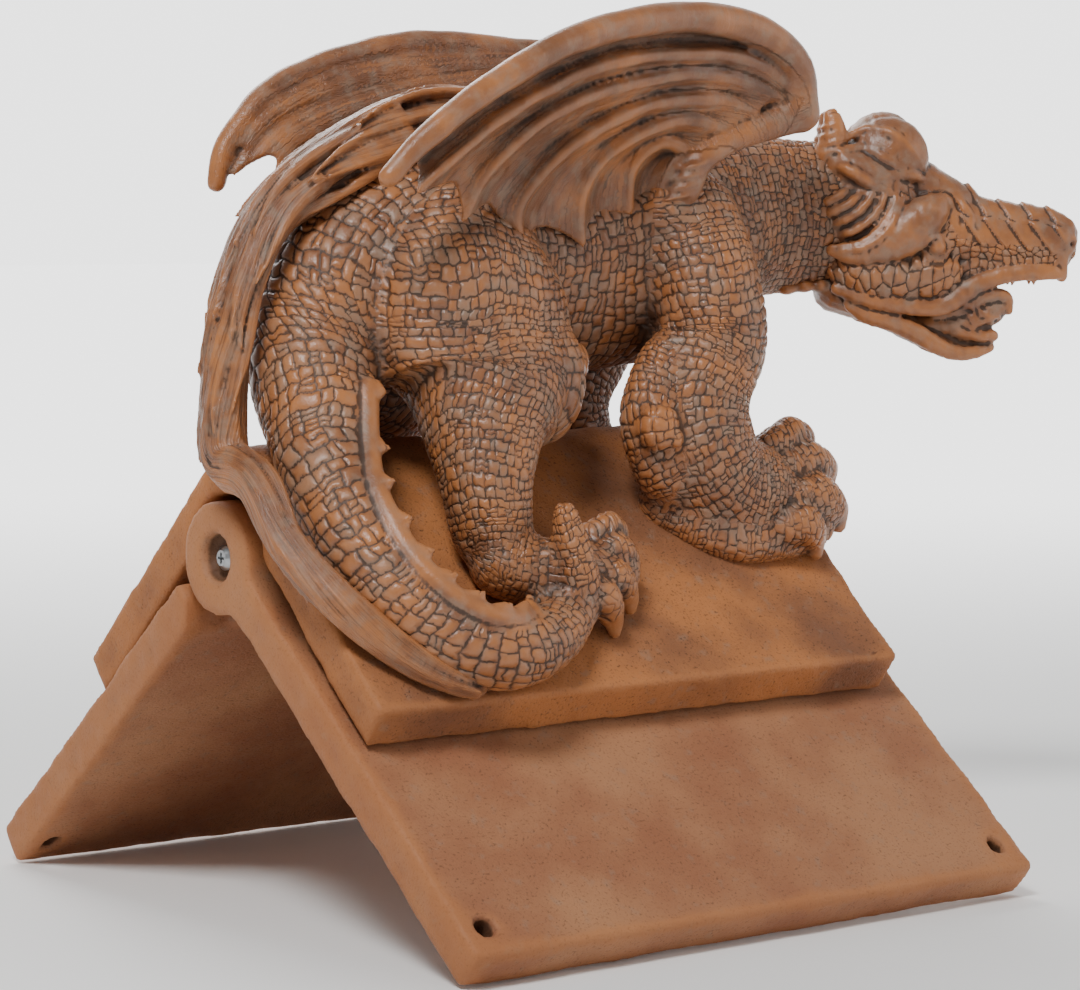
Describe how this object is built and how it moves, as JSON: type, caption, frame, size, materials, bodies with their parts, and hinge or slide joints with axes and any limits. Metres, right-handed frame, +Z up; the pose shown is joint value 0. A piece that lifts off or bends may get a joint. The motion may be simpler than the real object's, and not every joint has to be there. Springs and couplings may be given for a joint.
{
  "type": "dragon roof sculpture",
  "caption": "Winged dragon standing astride a roof-ridge saddle, hinged over flat roof plates that fold to the roof's pitch and are screwed down.",
  "frame": {"origin": "on the ground under the middle of the whole sculpture's bounding box; the hinge axis runs along X at y = 0, z = 0.1529", "axes": "+X along the ridge toward the dragon's chest, +Z up, +Y toward the dragon's left"},
  "size_m": [0.4424, 0.359, 0.3873],
  "materials": {
    "cast_resin": "cast resin with a terracotta-brown antique wash, dark in the grooves and worn orange on the high spots, satin",
    "plate_resin": "cast resin with a matt pinkish terracotta coat, finely pitted",
    "zinc_steel": "bright zinc plate"
  },
  "bodies": {
    "saddle": {"dragon_saddle": "cast_resin", "pivot_screw_near": "zinc_steel", "pivot_screw_far": "zinc_steel"},
    "right_plate": {"right_roof_plate": "plate_resin"},
    "left_plate": {"left_roof_plate": "plate_resin"}
  },
  "joints": [
    {"name": "right_plate_hinge", "type": "hinge", "parent": "saddle", "child": "right_plate", "pos_m": [0, 0, 0.15291], "axis": [1, 0, 0], "range_deg": [0, 26]},
    {"name": "left_plate_hinge", "type": "hinge", "parent": "saddle", "child": "left_plate", "pos_m": [0, 0, 0.15291], "axis": [-1, 0, 0], "range_deg": [0, 26]}
  ]
}
